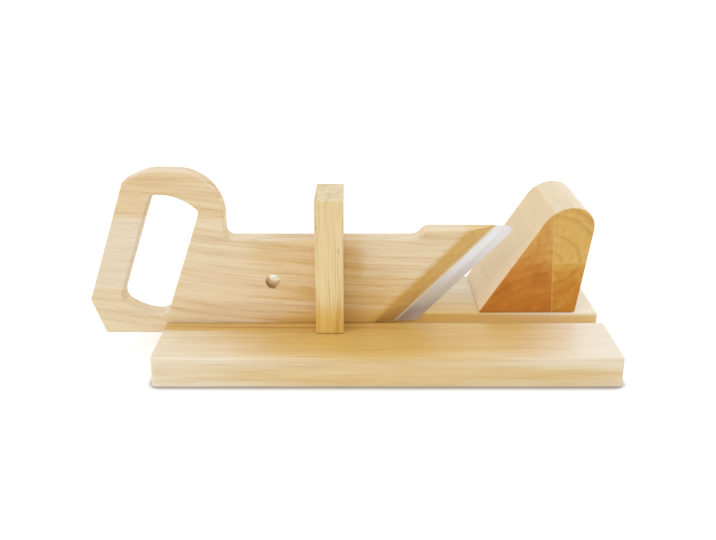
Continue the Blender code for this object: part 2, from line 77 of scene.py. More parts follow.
# Shuttle
SHUTTLE_FRONT = LOW_STAVE_LOW.y
SHUTTLE_REAR = LOW_STAVE_HIGH.y
SHUTTLE_BOTTOM = LOW_STAVE_LOW.z
SHUTTLE_TOP = SHUTTLE_BOTTOM + 0.0837
NOSE_TOP = SHUTTLE_TOP + 0.0078
NOSE_STEP_X = MIDDLE_STAVE_HIGH.x - 0.0675
NOSE_STEP_RADIUS = 0.009
NECK_X = CROWN_STAVE_HIGH.x
NECK_RADIUS = 0.007
HIGH_GLUE_Z = (MIDDLE_STAVE_HIGH.z + CROWN_STAVE_LOW.z) / 2
LOW_GLUE_HEIGHT = 0.0425
LOW_GLUE_FALL = math.radians(4.4)

# Handle
HANDLE_LEAN = math.radians(19.5)
HANDLE_LEFT = NECK_X - 0.1155
CROWN_Z = CROWN_STAVE_HIGH.z
CROWN_RADIUS = 0.0385
TOE_LENGTH = 0.0104
TOE_RADIUS = 0.002
HEEL_Z = SHUTTLE_BOTTOM + 0.0305
HEEL_RADIUS = 0.0025
BROW_Z = SHUTTLE_BOTTOM + 0.1325
BROW_LENGTH = 0.0195
BROW_RADIUS = 0.005
FOREHEAD_RADIUS = 0.030

# Hand hole
GRIP_WIDTH = 0.0238 / math.cos(HANDLE_LEAN)
HOLE_WIDTH = 0.0408 / math.cos(HANDLE_LEAN)
HOLE_LOW = SHUTTLE_BOTTOM + 0.0159
HOLE_LOW_RISE = 0.0139
HOLE_LOW_BEND = (HOLE_WIDTH - 0.0219, 0.0027)
HOLE_HIGH = SHUTTLE_BOTTOM + 0.1219
HOLE_HIGH_FALL = 0.0147
HOLE_HIGH_BEND = (HOLE_WIDTH - 0.0165, 0.0017)
HOLE_BEND_RADIUS = 0.038
HOLE_HEEL_RADIUS = 0.0106
HOLE_BROW_RADIUS = 0.0067
HOLE_HIGH_RADIUS = 0.0065
HOLE_LOW_RADIUS = 0.0105

# Peg hole
PEG_HOLE_X = NECK_X + 0.0384
PEG_HOLE_Z = SHUTTLE_BOTTOM + 0.0466
PEG_HOLE_RADIUS = 0.0060

# Blade
BLADE_ANGLE = math.radians(46.3)
BLADE_WIDTH = 0.036
BLADE_EXPOSED = 0.014
BLADE_THICKNESS = BLADE_HIGH.y - BLADE_LOW.y
BLADE_HEEL_RADIUS = 0.004
BLADE_TIP_RADIUS = 0.005
BLADE_BACK_RADIUS = 0.001
GRIND_WIDTH = 0.0065
EDGE_THICKNESS = 0.00015
BEVEL_WIDTH = 0.0175
BLADE_SEAT = 0.0003
BLADE_FRONT = SHUTTLE_REAR - BLADE_THICKNESS
GROUND_START = BLADE_EXPOSED - GRIND_WIDTH
ALONG_BLADE = Vector((math.cos(BLADE_ANGLE), 0, math.sin(BLADE_ANGLE)))
ACROSS_BLADE = Vector((math.sin(BLADE_ANGLE), 0, -math.cos(BLADE_ANGLE)))
LIP = Vector((MIDDLE_STAVE_HIGH.x, SHUTTLE_REAR - BLADE_THICKNESS - BLADE_SEAT, NOSE_TOP))

# Rest block
REST_FOOT_RIGHT = BASE_HIGH.x - 0.0197
REST_FOOT_LEFT = REST_FOOT_RIGHT - 0.0835
REST_SLOPE = math.radians(57.6)
REST_LEAN = math.radians(7.4)
REST_SLOPE_RADIUS = 0.026
REST_BACK_RADIUS = 0.0175
REST_JOINT_LEAN = math.radians(3.0)
REST_JOINT_FOOT = REST_FOOT_RIGHT - 0.0202
REST_JOINT_Z = (REST_LOWER_HIGH.z + REST_UPPER_LOW.z) / 2

# Screws: how many, shank radius, head radius and length
SCREWS = {
    "guide_screw": (3, 0.0020, 0.0040, 0.045),
    "rest_screw": (4, 0.0020, 0.0040, 0.045),
    "blade_screw": (3, 0.0014, 0.0030, 0.010),
}
SCREW_RIM = 0.0003
SCREW_SPARE = 0.0003
SINKING_MOUTH = 0.002

# A screw's point, in shank radii, and its slot, in head widths
POINT_LENGTH = 1.5
POINT_END = 0.1
SLOT_HALF_WIDTH = 0.055
SLOT_DEPTH = 0.12
SLOT_TURN = 0.9

# How finely round forms are drawn, and from which angle an arris is eased
ARC_STEP = math.radians(3)
ARRIS_ANGLE = math.radians(35)
SMOOTH_ANGLE = math.radians(32)
EASE_SEGMENTS = 4
SCREW_SIDES = 48
PEG_HOLE_SIDES = 96

# What counts as one place, how high the foot reaches, and how far a cut runs past
MERGE = 1e-6
NEAR = 0.00002
FOOT_HEIGHT = 0.001
CUT_PAST = 0.010

# Floor, lamps and camera, which looks down by a tilt through a lens in millimetres
FLOOR_SIZE = 12
FLOOR_Z = -0.0003
LAMP_SIZE = 1.0
LAMP_AIM = Vector((0, 0, 0.05))
KEY_PLACE = (-1.0, -1.0, 0.8)
SIDE_PLACE = (1.3, 0.3, 0.9)
CAMERA_PLACE = (-0.02293, -0.68013, 0.33041)
CAMERA_TILT = math.radians(21.3077)
CAMERA_LENS = 43.046
CAMERA_SENSOR = 36


def length(name, description, default):
    """A size that a user can change."""
    return FloatProperty(name=name, description=description, default=default,
                         min=0.0001, max=0.02, precision=5, unit="LENGTH")


def colour(name, description, default):
    """A colour that a user can change."""
    return FloatVectorProperty(name=name, description=description, default=default,
                               size=3, min=0, max=1, subtype="COLOR")


def share(name, description, default, most=1.0):
    """A strength that a user can change."""
    return FloatProperty(name=name, description=description, default=default,
                         min=0, max=most, subtype="FACTOR")


class SlicerSizes(PropertyGroup):
    """How far the arrises are rounded"""
    base_ease: length("Base arris", "Radius of the base board's arrises", 0.0016)
    foot_ease: length("Base foot", "Radius of the base board's lowest arris", 0.0005)
    guide_ease: length("Bridge arris", "Radius of the bridge's arrises", 0.0010)
    shuttle_ease: length("Shuttle arris", "Radius of the shuttle's arrises", 0.0014)
    bevel_ease: length("Bevel arris", "Width of the soft start of the end bevel", 0.0035)
    rest_ease: length("Rest arris", "Radius of the rest block's arrises", 0.0012)
    hole_ease: length("Peg hole arris", "Radius of the peg hole's front mouth", 0.0006)


class SlicerColours(PropertyGroup):
    """Colours of the woods, the glue and the steel"""
    base_pale: colour("Base, pale", "Base board towards its ends", (0.93, 0.82, 0.62))
    base_gold: colour("Base, golden", "Base board beside the groove", (0.78, 0.52, 0.14))
    # Painted sheen: the white on the top of the base's right end.
    painted_sheen: colour("Base, right end", "Painted sheen on the base's right end", (0.96, 0.93, 0.84))
    bridge_pale: colour("Bridge, pale", "Bridge towards its top", (0.88, 0.70, 0.37))
    bridge_gold: colour("Bridge, golden", "Bridge near the base", (0.80, 0.52, 0.13))
    shuttle_pale: colour("Shuttle, pale", "Shuttle towards its handle", (0.88, 0.73, 0.49))
    # Beside the bridge this gold is partly painted shade of the bridge.
    shuttle_gold: colour("Shuttle, golden", "Shuttle near the bridge", (0.75, 0.48, 0.13))
    bevel: colour("Shuttle, bevel", "End bevel beside the blade", (0.84, 0.58, 0.17))
    rest_pale: colour("Rest, pale", "Rest block towards its top", (0.89, 0.74, 0.48))
    rest_gold: colour("Rest, golden", "Rest block near the base", (0.74, 0.40, 0.14))
    dye: colour("Fibres", "How the darker fibres dye the wood", (0.70, 0.52, 0.30))
    late: colour("Late wood", "How the late wood of each year dyes the wood",
                 (0.60, 0.50, 0.32))
    pore: colour("Pores", "The wood's open pores", (0.30, 0.17, 0.05))
    # Painted light: this bright tone lightens the peg hole's wall.
    bore: colour("Bore", "Wall of the peg hole", (1.0, 0.80, 0.48))
    # This colour also paints the lip's highlight, a pale line on the wood and the blade.
    glue: colour("Shuttle glue", "Glue lines and lip of the shuttle", (0.97, 0.88, 0.66))
    rest_glue: colour("Rest glue", "Glue lines of the rest block", (0.86, 0.62, 0.26))
    steel: colour("Blade", "Steel of the blade", (0.77, 0.77, 0.79))
    zinc: colour("Screws", "Zinc of the screws", (0.55, 0.54, 0.52))


class SlicerStage(PropertyGroup):
    """Strength of the light, and the floor"""
    sky: share("Sky", "Strength of the soft light from all round", 0.80, 3.0)
    key: FloatProperty(name="Key lamp", description="Power of the large lamp on the left",
                       default=5.0, min=0, max=100, unit="POWER")
    side: FloatProperty(name="Side lamp", description="Power of the large lamp on the right",
                        default=4.0, min=0, max=100, unit="POWER")
    floor: share("Floor", "How pale the floor is", 0.80)
    lift: share("Floor lift", "Whiteness added to the open floor in view", 0.45)
    crease: length("Contact shadow", "How far the foot's shadow reaches", 0.008)


def deselect():
    """Leave edit mode and select nothing."""
    if bpy.context.object and bpy.context.object.mode != "OBJECT":
        bpy.ops.object.mode_set(mode="OBJECT")
    bpy.ops.object.select_all(action="DESELECT")


def take(piece):
    """Select one piece alone and make it active."""
    deselect()
    piece.select_set(True)
    bpy.context.view_layer.objects.active = piece


def settle(piece, name):
    """Name a new piece and move its place into its mesh."""
    piece.name = name
    piece.data.name = name
    bpy.ops.object.transform_apply(location=True, rotation=True, scale=True)
    return piece


def block(name, low, high):
    """A box between two corners."""
    deselect()
    low = Vector(low)
    high = Vector(high)
    bpy.ops.mesh.primitive_cube_add(size=1, location=(low + high) / 2, scale=high - low)
    return settle(bpy.context.object, name)


def pick(piece, kind, test):
    """In edit mode, select the vertices, edges or faces that pass a test."""
    take(piece)
    bpy.ops.object.mode_set(mode="EDIT")
    bpy.ops.mesh.select_mode(type=kind)
    bpy.ops.mesh.select_all(action="DESELECT")
    shape = bmesh.from_edit_mesh(piece.data)
    items = {"VERT": shape.verts, "EDGE": shape.edges, "FACE": shape.faces}[kind]
    chosen = [item for item in items if test(item)]
    if not chosen:
        raise RuntimeError(f"{piece.name} has nothing there to select")
    for item in chosen:
        item.select_set(True)
    shape.select_flush_mode()
    bmesh.update_edit_mesh(piece.data)


def open_up(piece):
    """Go into edit mode with the whole of a piece selected."""
    take(piece)
    bpy.ops.object.mode_set(mode="EDIT")
    bpy.ops.mesh.select_all(action="SELECT")


def pull_out(x, y, z):
    """In edit mode, extrude the selected faces and move them."""
    bpy.ops.mesh.extrude_region_move(TRANSFORM_OT_translate={"value": (x, y, z)})


def saw(piece, point, normal):
    """Cut off what lies beyond a plane and close the cut."""
    open_up(piece)
    bpy.ops.mesh.bisect(plane_co=point, plane_no=normal, use_fill=True,
                        clear_outer=True, threshold=MERGE)
    bpy.ops.object.mode_set(mode="OBJECT")


def carve(piece, tool):
    """Cut the shape of a tool out of a piece, and put the tool away."""
    take(piece)
    bpy.ops.object.modifier_add(type="BOOLEAN")
    cut = piece.modifiers[-1]
    cut.object = tool
    cut.operation = "DIFFERENCE"
    bpy.ops.object.modifier_apply(modifier=cut.name)
    bpy.data.objects.remove(tool)


def along(axis, first, second):
    """A test for an edge that runs along an axis through a place across it."""
    others = [index for index in range(3) if index != axis]
    place = Vector((first, second))

    def test(edge):
        return all(
            (Vector((vert.co[others[0]], vert.co[others[1]])) - place).length < NEAR
            for vert in edge.verts
        )
    return test


def stands_out(edge):
    """A test for an arris, and not an inner corner."""
    return edge.is_manifold and edge.is_convex and edge.calc_face_angle() > ARRIS_ANGLE


def on_table(edge):
    """A test for an edge that lies low on the table."""
    return all(vert.co.z < BASE_LOW.z + FOOT_HEIGHT for vert in edge.verts)


def bevel_picked(width, segments):
    """Bevel the selected edges and leave edit mode."""
    bpy.ops.mesh.bevel(offset=width, offset_type="OFFSET", segments=segments, affect="EDGES")
    bpy.ops.object.mode_set(mode="OBJECT")


def round_off(piece, test, radius):
    """Round edges to a radius, in as many steps as their turn needs."""
    pick(piece, "EDGE", test)
    shape = bmesh.from_edit_mesh(piece.data)
    turn = max(edge.calc_face_angle() for edge in shape.edges if edge.select)
    bevel_picked(radius * math.tan(turn / 2), math.ceil(turn / ARC_STEP))


def ease(piece, width, test=stands_out):
    """Round the arrises of a piece a little."""
    pick(piece, "EDGE", test)
    bevel_picked(width, EASE_SEGMENTS)


def copy_of(piece, name):
    """A copy of a piece with a mesh of its own."""
    take(piece)
    bpy.ops.object.duplicate()
    return settle(bpy.context.object, name)


def finish_piece(piece, body, node, material):
    """Clean a piece, smooth it, paint it and hang it on its body in place of its node."""
    open_up(piece)
    bpy.ops.mesh.remove_doubles(threshold=MERGE)
    bpy.ops.mesh.normals_make_consistent(inside=False)
    bpy.ops.object.mode_set(mode="OBJECT")
    bpy.ops.object.shade_smooth_by_angle(angle=SMOOTH_ANGLE)
    bpy.ops.object.modifier_add(type="WEIGHTED_NORMAL")
    weighted = piece.modifiers[-1]
    weighted.keep_sharp = True
    bpy.ops.object.modifier_apply(modifier=weighted.name)
    piece.data.materials.clear()
    piece.data.materials.append(material)
    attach(piece, body)
    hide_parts(node)


class Value:
    """A number or colour in a material. Python's operators on it add Math nodes."""

    def __init__(self, paint, socket):
        self.paint = paint
        self.socket = socket

    def maths(self, operation, *others, first=None):
        """A Math node on this value and others, or on a first one and this value."""
        values = (self, *others) if first is None else (first, self)
        settings = {"operation": operation}
        return self.paint.add("ShaderNodeMath", settings, dict(enumerate(values)))

    def __add__(self, other):
        return self.maths("ADD", other)

    def __sub__(self, other):
        return self.maths("SUBTRACT", other)

    def __rsub__(self, other):
        return self.maths("SUBTRACT", first=other)

    def __mul__(self, other):
        return self.maths("MULTIPLY", other)

    def __truediv__(self, other):
        return self.maths("DIVIDE", other)

    def __pow__(self, other):
        return self.maths("POWER", other)

    def __abs__(self):
        return self.maths("ABSOLUTE")

    __radd__ = __add__
    __rmul__ = __mul__

    def fraction(self):
        """What is left past the last whole number."""
        return self.maths("FRACT")

    def larger(self, other):
        """The larger of this value and another."""
        return self.maths("MAXIMUM", other)

    def step(self, low, high):
        """0 below low, 1 above high and a smooth rise between."""
        settings = {"interpolation_type": "SMOOTHSTEP"}
        inputs = {"Value": self, "From Min": low, "From Max": high}
        return self.paint.add("ShaderNodeMapRange", settings, inputs)


class Paint:
    """A material or sky under construction: its nodes, and the links that feed them."""

    def __init__(self, owner):
        owner.use_nodes = True
        self.nodes = owner.node_tree.nodes
        self.links = owner.node_tree.links

    def add(self, kind, settings=None, inputs=None, output=0):
        """Add a node, set it up, feed it and return one of its outputs."""
        node = self.nodes.new(kind)
        for name, value in (settings or {}).items():
            setattr(node, name, value)
        for name, value in (inputs or {}).items():
            self.feed(node.inputs[name], value)
        return Value(self, node.outputs[output])

    def feed(self, socket, value):
        """Link a value to a socket, or set the socket to it."""
        if isinstance(value, Value):
            self.links.new(value.socket, socket)
        else:
            socket.default_value = value

    def dress(self, node, **inputs):
        """Feed the sockets of a node that is there already."""
        for name, value in inputs.items():
            self.feed(self.nodes[node].inputs[name.replace("_", " ")], value)

    def place(self):
        """The three coordinates of a point of the piece, in metres."""
        point = self.add("ShaderNodeTexCoord", output="Object")
        return [self.add("ShaderNodeSeparateXYZ", inputs={0: point}, output=axis)
                for axis in range(3)]

    def zone(self, point, middle, reach):
        """1 in the middle of an oval zone, falling to 0 at its border."""
        parts = [(value - at) / far for value, at, far in zip(point, middle, reach)]
        distance = (parts[0] ** 2 + parts[1] ** 2 + parts[2] ** 2) ** 0.5
        return 1 - distance.step(0.35, 1.0)

    def facing(self, axis):
        """How squarely the surface faces along an axis, from 0 to 1."""
        normal = self.add("ShaderNodeTexCoord", output="Normal")
        return abs(self.add("ShaderNodeSeparateXYZ", inputs={0: normal}, output=axis))

    def noise(self, x, y, z, detail=2.0, roughness=0.5):
        """Cloudy noise at a point, whose features are about 1 across."""
        point = self.add("ShaderNodeCombineXYZ", inputs={0: x, 1: y, 2: z})
        inputs = {"Vector": point, "Scale": 1.0, "Detail": detail, "Roughness": roughness}
        return self.add("ShaderNodeTexNoise", inputs=inputs)

    def cells(self, x, y, z):
        """The distance to the nearest of points scattered about 1 apart, and its colour."""
        point = self.add("ShaderNodeCombineXYZ", inputs={0: x, 1: y, 2: z})
        near = self.add("ShaderNodeTexVoronoi", inputs={"Vector": point, "Scale": 1.0})
        colour_socket = near.socket.node.outputs["Color"]
        chance = self.add("ShaderNodeSeparateColor", inputs={0: Value(self, colour_socket)})
        return near, chance

    def times(self, first, second):
        """One colour multiplied by another."""
        return self.mix(1.0, first, second, "MULTIPLY")

    def dyed(self, factor, tone, dye):
        """A colour, and how far a dye that it is multiplied by takes hold."""
        return self.mix(factor, tone, self.times(tone, dye))

    def mix(self, factor, first, second, mode="MIX"):
        """A mix of two colours."""
        settings = {"data_type": "RGBA", "blend_type": mode}
        inputs = {0: factor, 6: self.rgba(first), 7: self.rgba(second)}
        return self.add("ShaderNodeMix", settings, inputs, output=2)

    def rgba(self, tone):
        """A colour as a socket takes it."""
        return tone if isinstance(tone, Value) else (*tone, 1.0)

    def seen(self):
        """1 for what the camera sees, itself or in gloss or glass, and 0 for soft light."""
        camera, glossy, clear = [self.add("ShaderNodeLightPath", output=f"Is {ray} Ray")
                                 for ray in ("Camera", "Glossy", "Transmission")]
        return camera.larger(glossy).larger(clear)

    def bump(self, height, strength, distance):
        """The surface's normal, raised by a height."""
        inputs = {"Strength": strength, "Distance": distance, "Height": height}
        return self.add("ShaderNodeBump", inputs=inputs)


def new_paint(name):
    """A new material, and the paint to build it with."""
    material = bpy.data.materials.new(name)
    return Paint(material), material


# The wood of each board. Grain is the axis of its fibres, heart the middle of its year rings
# across them, ring the width of a year, and seed shifts the noise. Golden lists its darker parts,
# each with middle, reach and strength; on the shuttle those beside the bridge are partly painted
# shade of the bridge. Lean and turn say how the grain falls and bends, and sway how far it
# wanders. Waves, fibres, streaks and blotch are the strengths of years, fibres, broad streaks and
# clouds on end grain. Marks are the pores' length, width and strength. Tint and end tone the
# whole and the end grain; the grip's tint is partly painted sheen, and end tones above 1 are
# painted light on end grain, hole walls and the bridge's top. Soft says how steeply a year
# darkens.
WOODS = {
    "base": {"grain": "X", "heart": (-0.25, -0.10), "ring": 0.0040, "seed": 3.1,
             "golden": (((0.00, -0.03, 0.035), (0.22, 0.12, 0.030), 1.0),
                        ((0.02, -0.0865, 0.010), (0.26, 0.020, 0.018), 0.65),
                        ((-0.10, -0.022, 0.0255), (0.24, 0.022, 0.020), 1.4)),
             "lean": -0.02, "sway": 0.003, "waves": 0.30, "fibres": 0.45,
             "streaks": 0.35, "marks": (0.030, 0.0013, 0.30)},
    # Its end tone, above 1, whitens the bridge's top as painted sheen.
    "bridge": {"grain": "Z", "heart": (0.06, -0.10), "ring": 0.0028, "seed": 8.4,
               "golden": (((-0.045, -0.04, 0.02), (0.10, 0.20, 0.046), 0.85),),
               "end": (0.97, 1.03, 1.25), "marks": (0.018, 0.0040, 0.7),
               "waves": 0.9, "fibres": 1.0},
    "shuttle low": {"grain": "X", "heart": (0.03, -0.06), "ring": 0.0052, "seed": 1.7,
                    "golden": (((-0.03, -0.01, 0.018), (0.11, 0.20, 0.034), 0.9),),
                    "lean": 0.075, "turn": 0.055, "waves": 0.75, "fibres": 0.60},
    # Its pale, bluish tint is partly the stave's own colour and partly painted sheen.
    "shuttle grip": {"grain": "X", "heart": (0.05, 0.25), "ring": 0.0050, "seed": 7.0,
                     "golden": (((-0.03, -0.01, 0.02), (0.14, 0.20, 0.05), 0.5),),
                     "tint": (1.0, 1.05, 1.18), "lean": 0.04, "waves": 0.5, "fibres": 0.35},
    # Its second golden zone, beside the bridge, is painted shade of the bridge.
    "shuttle middle": {"grain": "X", "heart": (0.03, -0.05), "ring": 0.0050, "seed": 12.3,
                       "golden": (((-0.035, -0.01, 0.035), (0.12, 0.20, 0.055), 0.6),
                                  ((-0.030, -0.02, 0.065), (0.020, 0.20, 0.060), 0.6),
                                  ((-0.075, -0.02, 0.085), (0.060, 0.20, 0.030), 0.45)),
                       "lean": 0.095, "turn": 0.055, "waves": 0.70, "fibres": 0.60,
                       "marks": (0.020, 0.0013, 0.22)},
    "shuttle crown": {"grain": "X", "heart": (0.03, 0.25), "ring": 0.0035, "seed": 17.6,
                      "golden": (((-0.18, -0.01, 0.12), (0.25, 0.20, 0.12), 0.32),),
                      "lean": 0.06, "waves": 0.8, "fibres": 0.60},
    "rest left": {"grain": "Y", "heart": (0.175, -0.105), "ring": 0.0085, "seed": 2.9,
                  "golden": (((0.11, 0.0, 0.02), (0.12, 0.25, 0.085), 1.0),),
                  "tint": (0.98, 0.91, 0.75), "end": (0.87, 0.66, 0.32), "soft": 2, "blotch": 1.6,
                  "waves": 0.35, "fibres": 0.25},
    "rest lower": {"grain": "Y", "heart": (0.135, 0.08), "ring": 0.0075, "seed": 7.0,
                   "golden": (((0.16, 0.0, 0.02), (0.08, 0.25, 0.07), 0.8),),
                   "end": (0.88, 0.66, 0.21), "soft": 2, "waves": 0.35, "fibres": 0.45},
    "rest upper": {"grain": "Y", "heart": (0.135, 0.066), "ring": 0.0080, "seed": 11.1,
                   "golden": (((0.13, 0.0, 0.05), (0.04, 0.25, 0.03), 0.8),),
                   "end": (0.90, 0.69, 0.30), "soft": 2, "waves": 0.45, "fibres": 0.45},
}

# Sizes along and across the grain of its bends, bands, fibres and clouds
SWAY_SIZE = (0.09, 0.05)
LIFT_SIZE = (0.11, 0.05)
BAND_SIZE = (0.16, 0.006)
FIBRE_SIZE = (0.040, 0.0012)
CLOUD_SIZE = (0.07, 0.02)

# Where the grain of a shuttle stave turns, and how gently
GRAIN_TURN_X = -0.09
GRAIN_TURN_REACH = 0.03

# Base: the groove's painted shade, its streaks' zone and size, and the right end's painted sheen
GROOVE_SHADE_Z = (BASE_HIGH.z - 0.004, BASE_HIGH.z - 0.0006)
GROOVE_SHADE_Y = (-0.04, -0.03)
STREAK_ZONE = ((-0.09, -0.026, 0.0255), (0.15, 0.014, 0.010))
STREAK_SIZE = (0.30, 0.0022)
SHEEN_END_X = (0.11, 0.18)

# Bevel: how softly it starts and curves, its dark heel, and the lip's painted highlight
BEVEL_SOFT = 0.0025
BEVEL_CURVE_LENGTH = 0.063
BEVEL_CURVE = 0.004
BEVEL_HEEL_Z = (0.02, 0.07)
LIP_HIGHLIGHT_BACK = (-0.0022, -0.0012)

# Peg hole: thickness of its wall's paint, and the side (x, z) and depths in shade
BORE_SKIN = 0.0002
BORE_SHADE = (-0.75, -0.66)
BORE_SHADE_Y = (SHUTTLE_FRONT + 0.003, SHUTTLE_FRONT + 0.013)

# Blade: painted reflections on its low end and ground edge, where they fade, and its lip
# highlight
LOW_STEEL_REFLECTION_TINT = (0.92, 0.97, 1.14)
LOW_STEEL_REFLECTION_Z = (0.02, 0.09)
GROUND_REFLECTION_TINT = (1.04, 1.10, 1.25)
GROUND_REFLECTION_Z = (0.06, 0.10)
LIP_HIGHLIGHT_ON_STEEL = (0.0006, 0.0014)


class Grain:
    """How a board's wood runs at a point: along and across its grain, and year by year."""

    def __init__(self, paint, look, place):
        x, y, z = place
        seed = look["seed"]
        orders = {"X": (x, y, z), "Y": (y, x, z), "Z": (z, x, y)}
        run, across, deep = orders[look["grain"]]
        self.on_end = paint.facing("XYZ".index(look["grain"])).step(0.25, 0.80)

        def noise(size, axis, detail=2.0, roughness=0.5):
            """Noise of a size along and across the grain, shifted along an axis."""
            parts = [run / size[0], across / size[1], deep / size[1]]
            parts[axis] = parts[axis] + seed
            return paint.noise(*parts, detail, roughness)

        sway = noise(SWAY_SIZE, 0) - 0.5
        lift = noise(LIFT_SIZE, 1) - 0.5
        wander = look.get("sway", 0.010)
        across = across + sway * wander
        deep = deep + lift * wander + run * look.get("lean", 0.0)
        if "turn" in look:
            bend = ((run - GRAIN_TURN_X) ** 2 + GRAIN_TURN_REACH ** 2) ** 0.5
            deep = deep - bend * look["turn"]

        off_across = across - look["heart"][0]
        off_deep = deep - look["heart"][1]
        years = (off_across ** 2 + off_deep ** 2) ** 0.5 / look["ring"]
        years = years + paint.noise(years * 0.35, seed, 0.5) * 1.4
        year = years.fraction()
        self.late = year ** look.get("soft", 5) * (1 - year.step(0.92, 1.0))
        strong = paint.noise(run / 0.12 + seed, years * 0.8, across / 0.10)
        self.strong = strong.step(0.38, 0.66)
        self.band = noise(BAND_SIZE, 2)
        self.fine = noise(FIBRE_SIZE, 1, 3.0, 0.6)
        self.cloud = noise(CLOUD_SIZE, 0)

        long, wide, depth = look.get("marks", (0.014, 0.0016, 0.15))
        dash, chance = paint.cells(run / long + seed, across / wide, deep / wide)
        self.pore = (1 - dash.step(0.06, 0.22)) * chance.step(0.74, 0.80) * depth


def wood(name, tones, board, seams=(), bore=None, bevel=False):
    """Oiled wood of one board: its tones, year rings, fibres, pores, glue lines and painted
    light.
    """
    look = WOODS[board]
    kind = board.split()[0]
    paint, material = new_paint(name)
    place = paint.place()
    grain = Grain(paint, look, place)
    tone = plain_wood(paint, tones, kind, look, place, grain)
    figure = grain.late * grain.strong * (0.7 + grain.on_end * 0.6) * look["waves"]
    if bevel:
        tone, planed = planed_bevel(paint, tones, tone, place)
        figure = figure * (1 - planed * 0.8)

    texture = (grain.band - 0.5) * 1.2 + (grain.fine - 0.5) * 1.5
    shade = 0.25 + texture * look["fibres"]
    if "blotch" in look:
        shade = shade + (grain.cloud - 0.5) * grain.on_end * look["blotch"]
    tone = paint.dyed(shade.step(0.0, 1.0), tone, tones.dye)
    tone = paint.dyed(figure, tone, tones.late)
    tone = paint.mix(grain.pore, tone, tones.pore)
    # The default end tone, above 1, lightens end grain and hole walls as painted light.
    tone = paint.dyed(grain.on_end, tone, look.get("end", (1.05, 1.05, 1.08)))
    glue = tones.rest_glue if kind == "rest" else tones.glue
    for point, normal in seams:
        middle = Vector(point).dot(Vector(normal))
        off_line = abs(place[0] * normal[0] + place[2] * normal[2] - middle)
        tone = paint.mix((1 - off_line.step(0.0002, 0.0010)) * 0.3, tone, glue)

    raw = grain.on_end * 0.8
    if kind == "base":
        tone = base_marks(paint, tones, tone, place, look["seed"])
    if bore:
        tone, bored = bore_wall(paint, tones, tone, place, bore)
        raw = raw.larger(bored)
    height = grain.fine * 0.6 + grain.late * 0.4 - grain.pore
    paint.dress("Principled BSDF", Base_Color=tone,
                Roughness=0.42 + (grain.fine - 0.5) * 0.2 + raw * 0.2,
                Specular_IOR_Level=0.15, Coat_Weight=0.8 - raw * 0.8, Coat_Roughness=0.38,
                Sheen_Weight=0.15, Sheen_Roughness=0.4,
                Normal=paint.bump(height, 0.20, 0.0001))
    return material


def plain_wood(paint, tones, kind, look, place, grain):
    """The wood's pale and golden parts, before its figure."""
    golden = 0.0
    for middle, reach, strength in look["golden"]:
        golden = (paint.zone(place, middle, reach) * strength).larger(golden)
    streaks = (grain.band - 0.5) * look.get("streaks", 0.7) + (grain.cloud - 0.5) * 0.35
    golden = (golden + streaks).step(0.0, 1.0)
    if kind == "rest":
        golden = golden * (0.15 + grain.on_end * 0.85)
    tone = paint.mix(golden, getattr(tones, f"{kind}_pale"), getattr(tones, f"{kind}_gold"))
    if "tint" in look:
        tone = paint.times(tone, look["tint"])
    return tone


def planed_bevel(paint, tones, tone, place):
    """The tone with the planed end bevel and the lip's painted highlight, and the bevel's mask.
    """
    x, z = place[0], place[2]
    run = x * ALONG_BLADE.x + z * ALONG_BLADE.z - LIP.dot(ALONG_BLADE)
    back = past_lip(x, z)
    wider = (run / BEVEL_CURVE_LENGTH + 1) ** 2 * BEVEL_CURVE
    planed = (back + wider + BEVEL_WIDTH).step(-BEVEL_SOFT, BEVEL_SOFT)
    tone = paint.mix(planed * 0.88, tone, tones.bevel)
    # Painted highlight: a pale line along the lip, in the glue colour.
    tone = paint.mix(back.step(*LIP_HIGHLIGHT_BACK) * 0.9, tone, tones.glue)
    heel = planed * (1 - z.step(*BEVEL_HEEL_Z))
    return paint.dyed(heel * 0.4, tone, tones.dye), planed


def past_lip(x, z):
    """How far a point lies past the lip, towards the blade's edge."""
    return x * ACROSS_BLADE.x + z * ACROSS_BLADE.z - LIP.dot(ACROSS_BLADE)


def base_marks(paint, tones, tone, place, seed):
    """The groove's painted shade, the streaks beside it and the right end's painted sheen."""
    x, y, z = place
    # Painted shade: below the top, the groove and what lies behind it are darkened to gold.
    inside = (1 - z.step(*GROOVE_SHADE_Z)) * y.step(*GROOVE_SHADE_Y) * 1.3
    tone = paint.mix(inside * 0.5, tone, tones.base_gold)
    strip = paint.zone(place, *STREAK_ZONE)
    streak = paint.noise(x / STREAK_SIZE[0], y / STREAK_SIZE[1] + seed, 0.5)
    streak = streak.step(0.46, 0.60) * strip
    tone = paint.dyed(streak, tone, tones.dye)
    # Painted sheen: the top faces of the right end are whitened.
    painted_sheen = paint.facing(2).step(0.5, 0.9) * x.step(*SHEEN_END_X) * 0.45
    return paint.mix(painted_sheen, tone, tones.painted_sheen)


def bore_wall(paint, tones, tone, place, bore):
    """The tone with a bore's wall (x, z, radius) in painted light and shade, and its mask."""
    x, y, z = place
    off_x, off_z = x - bore[0], z - bore[1]
    bored = 1 - ((off_x ** 2 + off_z ** 2) ** 0.5).step(bore[2], bore[2] + BORE_SKIN)
    shaded = (off_x * BORE_SHADE[0] + off_z * BORE_SHADE[1]) / bore[2]
    near = 1 - y.step(*BORE_SHADE_Y)
    # Painted light lightens the bore's wall; painted shade darkens one side near its front with
    # the pore colour.
    tone = paint.mix(bored * 0.8, tone, tones.bore)
    tone = paint.mix(bored * shaded.step(-0.1, 0.75) * near * 0.9, tone, tones.pore)
    return tone, bored


